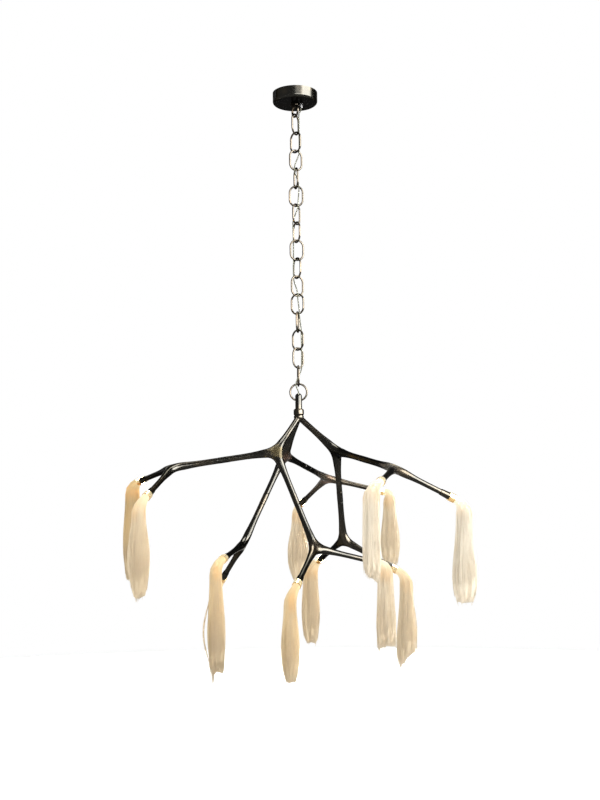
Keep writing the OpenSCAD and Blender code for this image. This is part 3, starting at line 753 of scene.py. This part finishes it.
# %% The path and girth of a tassel
class Hang:
    """s is the distance past the cup's mouth, and angle goes round the tassel."""

    def __init__(self, number):
        self.number = number
        end, self.out = tips[number]
        self.mouth = end + (CUP_L + MOUTH_GAP) * self.out
        self.heading = math.atan2(self.out.y, self.out.x)
        self.across = Vector((-math.sin(self.heading), math.cos(self.heading), 0))
        self.width = TASSEL_W[number] / 2 * MM
        self.lean = Vector((TASSEL_LEAN[number] * MM, 0, 0))
        self.fall_l = TASSEL_L[number] * MM + self.out.z * TASSEL_BEND - TASSEL_BEND
        self.length = BEND_L + self.fall_l
        self.random = random.Random(100 + number)
        self.phases = [self.random.uniform(0, math.tau) for _ in range(6)]

    def centre(self, s):
        """Place and slope of the middle of the tassel."""
        if s <= BEND_L:
            t = s / BEND_L
            u = max(0, t)
            place = self.out * TASSEL_BEND * (2 * t - t * t) + DOWN * TASSEL_BEND * t * t
            slope = self.out * 2 * TASSEL_BEND * (1 - t) + self.lean * 6 * u * (1 - u)
            slope += DOWN * 2 * TASSEL_BEND * u
            return self.mouth + place + self.lean * smooth(t), slope.normalized()
        base = self.mouth + self.out * TASSEL_BEND + self.lean
        return base + DOWN * (TASSEL_BEND + s - BEND_L), DOWN

    def girth(self, s):
        neck, full, hem = (a[self.number] for a in (TASSEL_NECK, TASSEL_FULL, TASSEL_HEM))
        if s <= 0:
            return ROOT_R
        if s <= BEND_L:
            return ROOT_R + (self.width * neck - ROOT_R) * smooth(s / BEND_L)
        u = (s - BEND_L) / self.fall_l
        if u < full:
            return self.width * (neck + (1 - neck) * smooth(u / full))
        return self.width * (1 - (1 - hem) * ((u - full) / (1 - full)) ** 2)

    def groove(self, angle, s):
        """0 on a lock's crest to 1 in the groove between locks."""
        drift = 0.35 * math.sin(9 * s + self.phases[0]) + 0.2 * math.sin(17 * s + self.phases[1])
        wide_turn = WIDE_LOCKS * (angle + drift) + self.phases[2] + math.sin(2 * angle)
        fine_turn = FINE_LOCKS * (angle + 0.5 * drift) + self.phases[3] + 2 * math.sin(3 * angle)
        wide, fine = (0.5 + 0.5 * math.cos(turn) for turn in (wide_turn, fine_turn))
        return smooth(s / BEND_L) * (0.62 * wide**1.5 + 0.38 * fine)

    def point(self, angle, s, share=1.0):
        centre, slope = self.centre(s)
        up = slope.cross(self.across).normalized()
        radius = self.girth(s) * share * (CREST - GROOVE_DEPTH * self.groove(angle, s))
        return centre + (self.across * math.cos(angle) + up * math.sin(angle)) * radius

    def end_of(self, angle):
        """How far down the outer fibres at this angle reach."""
        wave = 0.5 + sum(h * math.sin(n * angle + self.phases[p]) for h, n, p in RAG_WAVES)
        slant = TASSEL_SLANT[self.number] * MM
        right = math.sin(angle - self.heading)
        shorter = abs(slant) * 0.5 * (1 - math.copysign(1, slant) * right)
        return self.length - LOCK_RAG * (1 - wave) - shorter - self.rounding()

    def rounding(self):
        """How much further down the inner fibres reach where the foot draws in."""
        return FOOT_ROUND * (1 - TASSEL_HEM[self.number])


# %% The fluted core and the strands over it
CORE_SIDES = 96
CORE_RINGS = 44
CORE_SHARE = 0.935  # the core's girth, as a share of the tassel's
CORE_TUCK = 3 * MM  # how far inside the cup the core starts
CORE_SHORT = 5 * MM  # how far above the ends of the strands it ends
CORE_FOOT = 0.6  # share of the foot's rounding that its last ring follows
CORE_TIP = 0.75  # share that the middle of its foot follows
STRAND_STEPS = 17
STRAND_SIDES = 3
STRAND_TUCK = 2 * MM
STRAND_CROWD = 1.55  # above 1, a strand's steps are closer together in the bend
STRAND_THIN = 0.6  # share of its radius that a strand loses at its end


class Bundle:
    """The mesh of one tassel, with the places that its material reads."""

    def __init__(self, hang):
        self.hang = hang
        self.points, self.faces = [], []
        self.marks = {"around": [], "fall": [], "tone": [], "groove": []}

    def add(self, point, around, s, groove):
        self.points.append(point)
        self.marks["around"].append(around)
        self.marks["fall"].append(max(0, s))
        self.marks["tone"].append(TASSEL_TONE[self.hang.number])
        self.marks["groove"].append(groove)

    def core(self):
        hang = self.hang
        for ring in range(CORE_RINGS + 1):
            share = ring / CORE_RINGS
            girth = CORE_SHARE * (1 - 0.14 * late(share, 0.93))
            foot = hang.rounding() * CORE_FOOT * late(share, 0.88)
            for k in range(CORE_SIDES):
                angle = math.tau * k / CORE_SIDES
                length = hang.end_of(angle) - CORE_SHORT + CORE_TUCK
                s = -CORE_TUCK + length * share**1.2 + foot
                point = hang.point(angle, s, girth)
                self.add(point, angle / math.tau, s, hang.groove(angle, s))
        self.faces += tube(0, CORE_RINGS + 1, CORE_SIDES)
        self.faces.append(tuple(reversed(range(CORE_SIDES))))
        ends = [hang.end_of(math.tau * k / 12) for k in range(12)]
        tip_s = sum(ends) / len(ends) + CORE_TIP * hang.rounding()
        self.add(hang.centre(tip_s)[0], 0, tip_s, 0.3)
        last, tip = CORE_RINGS * CORE_SIDES, len(self.points) - 1
        for k in range(CORE_SIDES):
            self.faces.append((last + k, last + (k + 1) % CORE_SIDES, tip))

    def strand(self, angle, share, end, radius, drift, splay, stray=0.0):
        """A closed thread that thins out towards its end."""
        hang = self.hang
        first = len(self.points)
        tint = hang.random.random()
        for step in range(STRAND_STEPS + 1):
            t = (step / STRAND_STEPS) ** STRAND_CROWD
            s = -STRAND_TUCK + (end + STRAND_TUCK) * t
            turned = angle + drift * smooth(t) + 0.04 * math.sin(9 * t + 20 * tint)
            loose = min(1, max(0, (t - 0.40) / 0.58))
            out = share + splay * late(t, 0.75) + stray / hang.width * math.sin(math.pi * loose)
            middle = hang.point(turned, s, out)
            centre, slope = hang.centre(s)
            spoke = (middle - centre).normalized()
            side = spoke.cross(slope)
            thin = radius * (1 - STRAND_THIN * late(t, 0.8))
            for k in range(STRAND_SIDES):
                a = math.tau * k / STRAND_SIDES
                point = middle + (spoke * math.cos(a) + side * math.sin(a)) * thin
                around = turned / math.tau + tint * 0.12
                self.add(point, around, s, 0.35 * tint * hang.groove(turned, s))
        self.faces += tube(first, STRAND_STEPS + 1, STRAND_SIDES)
        last = len(self.points) - STRAND_SIDES
        self.faces.append((first + 2, first + 1, first))
        self.faces.append((last, last + 1, last + 2))


# %% Make the twelve tassels
STRANDS = 210
LOCK_STRANDS = 10
WISP_STRANDS = 24
DRAWN_LOCKS = 9  # number round a foot that draw in
# a lock that has come loose: number of the tassel, side (left -1, right 1), how far it strays
LOOSE_LOCKS = {7: (-1, 15 * MM), 10: (1, 6 * MM)}
# a thin wisp at the foot: number of the tassel, side, how much longer than the rest it is
WISPS = {
    3: (-0.9, 24 * MM),
    7: (-0.5, 32 * MM),
    10: (-0.7, 30 * MM),
    0: (0.3, 10 * MM),
    11: (0, 8 * MM),
}


def make_tassel(number):
    hang = Hang(number)
    bundle = Bundle(hang)
    bundle.core()
    pick = hang.random
    for strand in range(STRANDS):
        angle = math.tau * (strand + pick.uniform(-0.4, 0.4)) / STRANDS
        # a lock's fibres draw in together at the foot: 0 stays outside, 1 draws in most
        inner = (0.5 + 0.5 * math.sin(DRAWN_LOCKS * angle + hang.phases[1])) ** 1.5
        inner *= pick.uniform(0.6, 1)
        end = hang.end_of(angle) + hang.rounding() * (0.2 + 0.65 * inner)
        end += pick.uniform(-12, 5) * MM
        share = pick.uniform(0.965, 1.02)
        radius = pick.uniform(0.35, 0.80) * MM
        drift = pick.gauss(0, 0.07)
        splay = -0.04 - 0.45 * inner * (1 - TASSEL_HEM[number]) ** 0.5
        bundle.strand(angle, share, end, radius, drift, splay)
    if number in LOOSE_LOCKS:
        side, stray = LOOSE_LOCKS[number]
        middle = hang.heading + side * math.pi / 2
        for _ in range(LOCK_STRANDS):
            angle = middle + pick.gauss(0, 0.10)
            end = hang.end_of(angle) + pick.uniform(-20, 4) * MM
            radius = pick.uniform(0.3, 0.6) * MM
            drift = pick.gauss(0, 0.03)
            bundle.strand(angle, 0.98, end, radius, drift, 0.0, stray * pick.uniform(0.75, 1.0))
    if number in WISPS:
        side, longer = WISPS[number]
        middle = hang.heading + side * math.pi / 2
        for _ in range(WISP_STRANDS):
            angle = middle + pick.gauss(0, 0.45)
            end = hang.end_of(middle) + longer * pick.uniform(0.2, 1)
            radius = pick.uniform(0.7, 1.1) * MM
            drift = 0.7 * (middle - angle)
            bundle.strand(angle, 0.97, end, radius, drift, -0.3 * pick.random())
    name = f"tassel_{number + 1:02d}_fibres"
    tassel = mesh_object(name, bundle.points, bundle.faces, fibre, bundle.marks)
    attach(tassel, "light")
    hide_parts(f"tassel_{number + 1:02d}")
    return len(bundle.points)


print("tassel points", sum(make_tassel(number) for number in range(len(tips))))

# %% [markdown]
# ## The cord
#
# The cord is woven through the chain. It is cut into lengths that each cross one pair of links, and
# the heights round the hinge between each pair are worked out, though no length is bound to a link.
# Its route is the model's.

# %% Route of the cord
CORD_R = 1.6 * MM
CORD_SIDES = 10
LINK_COUNT = 15
LINK_PITCH = 50.3 * MM
LINK_WIRE = 5 * MM
LOOP_WIRE = 6 * MM
CORD_OFFSET = 10.2 * MM  # from the chain's middle, where the cord crosses two links
CORD_STEPS = 12  # points of a length for each way point
# where it crosses: at the hanging loop, at each pair of links and at the ring, in degrees
CORD_SIDE = (0, 9, -8, -114, -38, -60, 180, 156, 158, 166, -87, -62, 21, 0, -22, -133)
GRIP_X = 17 * MM
CORD_HOLE_Y = -6.6 * MM
# heights above the stem's foot at which the cord enters the stem's chamber, and ends
CHAMBER_ENTRY = 31.8 * MM
CORD_END = 20 * MM

hinges = {joint["name"]: Vector(joint["pos_m"]) for joint in frame["joints"]}
loop_z = hinges["link_01_swing"].z
stem_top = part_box("stem")[1].z
seat_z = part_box("stem")[0].z


def crossing(k):
    heading = math.radians(CORD_SIDE[k])
    z = loop_z - k * LINK_PITCH + (LINK_WIRE if k else LOOP_WIRE) / 2
    return Vector((CORD_OFFSET * math.cos(heading), CORD_OFFSET * math.sin(heading), z))


def eased(a, b, t):
    level = a.lerp(b, smooth(t))
    return Vector((level.x, level.y, a.z + (b.z - a.z) * t))


block_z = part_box("terminal_block")[0].z
grip_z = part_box("cord_grip")[0].z
ways = [Vector((GRIP_X, 0, block_z)), Vector((GRIP_X, 0, grip_z))]
ways += [crossing(k) for k in range(LINK_COUNT + 1)]
ways += [
    Vector((0, CORD_HOLE_Y, stem_top)),
    Vector((0, CORD_HOLE_Y, seat_z + CHAMBER_ENTRY)),
    Vector((0, 0, seat_z + CORD_END)),
]


def stretch(first, last):
    """Points of the route from way point number first to number last, which may be fractions."""
    count = max(2, round((last - first) * CORD_STEPS))
    out = []
    for i in range(count + 1):
        place = first + (last - first) * i / count
        k = min(int(place), len(ways) - 2)
        out.append(eased(ways[k], ways[k + 1], place - k))
    return out


# %% Lay the cord in lengths
BLEND = 9 * MM  # half the span round a hinge that is worked out for each length
# heights above the last crossing that bound the last length's span: the length starts below it
LIGHT_BLEND = (12 * MM, -2 * MM)


def cord_length(name, route, travelled):
    """Lays one length. travelled is how much of the cord comes before it."""
    points, around, fall = [], [], []
    for i, place in enumerate(route):
        ahead = route[min(i + 1, len(route) - 1)] - route[max(i - 1, 0)]
        slope = ahead.normalized()
        across = Vector((0, 1, 0)).cross(slope).normalized()
        up = slope.cross(across)
        if i:
            travelled += (place - route[i - 1]).length
        for k in range(CORD_SIDES):
            a = math.tau * k / CORD_SIDES
            points.append(place + (across * math.cos(a) + up * math.sin(a)) * CORD_R)
            around.append(2 * abs(k / CORD_SIDES - 0.5))
            fall.append(travelled)
    faces = tube(0, len(route), CORD_SIDES)
    faces.append(tuple(reversed(range(CORD_SIDES))))
    faces.append(tuple(range(len(points) - CORD_SIDES, len(points))))
    made = mesh_object(name, points, faces, cord_sleeve, {"around": around, "fall": fall})
    return made, travelled


links = [f"link_{i:02d}" for i in range(1, LINK_COUNT + 1)]
bodies = ["ceiling_mount", *links, "ring", "light"]
last_crossing = LINK_COUNT + 2
# each length ends halfway down a link, at half a way point past the crossing above it
cuts = [0, *(k + 2.5 for k in range(LINK_COUNT)), last_crossing + 0.35, len(ways) - 1]
travelled = 0
for i in range(len(cuts) - 1):
    piece, travelled = cord_length(f"cord_{i:02d}", stretch(cuts[i], cuts[i + 1]), travelled)
    upper, lower = bodies[i], bodies[i + 1]
    joint = next(j for j in frame["joints"] if j["child"] == lower)
    z = joint["pos_m"][2]
    top, bottom = z + BLEND, z - BLEND
    if lower == "light":
        top, bottom = (ways[last_crossing].z + height for height in LIGHT_BLEND)
    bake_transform(piece)
    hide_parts("supply_cord")
print("cord", round(travelled, 3), "m in", len(cuts) - 1, "lengths")

# %% [markdown]
# ## Finishes on the CAD pieces
#
# The turned and bent pieces are right as they are, and only take a finish. Their faces come from
# the model in flat pieces.

# %% Give each CAD node its finish
finish_of = {
    "canopy": bronze,
    "hanging_loop": chain_bronze,
    "mounting_bar": plated_steel,
    "lock_nut": brass,
    "lamp_driver": white_plastic,
    "terminal_block": white_plastic,
    "cord_grip": black_nylon,
    "hanging_ring": chain_bronze,
    "stem": bronze,
    "collar": bronze,
    "crown": bronze,
    "end_sleeves": bronze,
    "brass_cups": brass,
    "lamps": lens,
    "wiring": cord_sleeve,
}
for name, cad_object in frame["nodes"].items():
    finish = finish_of.get(name)
    if name.startswith("chain_link"):
        finish = chain_bronze
    if "coupling" in name:
        finish = bronze
    if finish:
        for slot in cad_object.material_slots:
            slot.material = finish

# %% [markdown]
# ## A pale studio
#
# The photograph has a white ground and soft, wide lights to the right that draw a bright band down
# each arm. Polished metal and fibre want different lights: a box that is bright enough to show in
# dark metal would burn the fibres out. So the bright boxes are drawn into the world's shader, for
# reflections only, and the plain world and three lamps light everything else. As lamps, the boxes
# would draw nearly all of the light samples to themselves and leave the fibres speckled. World and
# floor are white to the camera and in reflections, and the floor still takes the object's shadow.


# %% Boxes of light in the world's shader
AHEAD = (0.02, 0.06)  # a direction has to lean this much towards a box to see it
BOX_EDGE = 0.03  # half the width of a box's soft edge, for a box at a distance of 1


class Sky(Paint):
    """The same arithmetic for the world's nodes."""

    def __init__(self, world):
        self.nodes, self.links = world.node_tree.nodes, world.node_tree.links
        self.way = self.node("ShaderNodeTexCoord", out=0)

    def along(self, direction):
        settings = {"operation": "DOT_PRODUCT"}
        return self.node("ShaderNodeVectorMath", settings, {0: self.way, 1: direction}, out=1)

    def box(self, place, size):
        """1 where a ray would meet a box at place, of this width and height, with a soft edge."""
        ahead = Vector(place).normalized()
        across = ahead.cross(Vector((0, 0, 1))).normalized()
        depth = self.along(ahead)
        mask = self.between(depth, *AHEAD)
        for side, length in ((across, size[0]), (across.cross(ahead), size[1])):
            reach = length / 2 / Vector(place).length
            offset = self.along(side) / depth
            offset = self.node("ShaderNodeMath", {"operation": "ABSOLUTE"}, {0: offset})
            mask = mask * (1 - self.between(offset, reach - BOX_EDGE, reach + BOX_EDGE))
        return mask


# place from the middle of the forks, width and height in metres, and radiance
MIRROR_BOXES = (
    ((2.1, -1.1, 0.75), (2.2, 2.1), 70),
    ((1.6, -4.0, 0.55), (3.0, 1.7), 50),
    ((0.3, 0.1, 2.5), (1.4, 1.2), 50),
    ((-2.2, 1.5, 0.5), (0.35, 1.8), 18),
)


# %% Floor and world
def add_paths(nodes, links, *names):
    """1 for a ray of any of the named kinds."""
    path = nodes.new("ShaderNodeLightPath")
    total = path.outputs[names[0]]
    for name in names[1:]:
        either = nodes.new("ShaderNodeMath")
        either.operation = "MAXIMUM"
        links.new(total, either.inputs[0])
        links.new(path.outputs[name], either.inputs[1])
        total = either.outputs[0]
    return total


SEEN_BY = ("Is Camera Ray", "Is Transmission Ray", "Is Glossy Ray")
FLOOR_DROP = 0.75
FLOOR_R = 7
FLOOR_COLOUR = (0.90, 0.90, 0.90)
FLOOR_LIFT = (0.36, 0.36, 0.36)  # what lifts the floor to white for those rays


def floor_and_world():
    floor_place = (0, 0, cad_box[0][2] - FLOOR_DROP)
    bpy.ops.mesh.primitive_circle_add(
        vertices=96, radius=FLOOR_R, fill_type="NGON", location=floor_place
    )
    floor = bpy.context.object
    floor.name = "studio_floor"
    paint = Paint("studio_floor")
    seen = Wire(paint, add_paths(paint.nodes, paint.links, *SEEN_BY))
    lifted = paint.mix(seen, (0, 0, 0), FLOOR_LIFT)
    paint.set(base_color=FLOOR_COLOUR, roughness=0.9, emission_color=lifted, emission_strength=1)
    floor.data.materials.append(paint.material)

    world = bpy.data.worlds.new("studio")
    bpy.context.scene.world = world
    world.use_nodes = True
    background = world.node_tree.nodes["Background"]
    background.inputs["Color"].default_value = (1, 1, 1, 1)
    sky = Sky(world)
    boxes = 0.0
    for place, size, radiance in MIRROR_BOXES:
        boxes = boxes + radiance * sky.box(place, size)
    mirrored = Wire(sky, add_paths(sky.nodes, sky.links, "Is Glossy Ray"))
    sky.feed(background.inputs["Strength"], 1.0 + mirrored * boxes)


floor_and_world()


# %% Lamps
LOOK_BELOW = 0.2  # how far below the crown's centre the lamps look
# place from the crown's centre, width and height in metres, and radiance
LAMPS = {
    "key": ((1.8, -1.9, 0.9), (1.0, 1.0), 11.4),
    "fill": ((-2.4, -1.8, -0.2), (1.0, 1.6), 1.8),
    "rim": ((1.6, 2.2, 0.2), (1.0, 1.6), 2.0),
}


def add_lamp(name, place, size, radiance):
    """A soft lamp that faces the chandelier. Its power is its radiance times pi times its area."""
    data = bpy.data.lights.new(name, "AREA")
    data.shape = "RECTANGLE"
    data.size, data.size_y = size
    data.energy = radiance * math.pi * size[0] * size[1]
    lamp = bpy.data.objects.new(name, data)
    bpy.context.scene.collection.objects.link(lamp)
    lamp.location = Vector(place) + Vector((0, 0, hub.z))
    middle = Vector((0, 0, hub.z - LOOK_BELOW))
    lamp.rotation_euler = (middle - lamp.location).to_track_quat("-Z", "Y").to_euler()
    lamp.visible_glossy = False


for name, lamp in LAMPS.items():
    add_lamp(name, *lamp)
bpy.context.scene.view_settings.view_transform = "Standard"
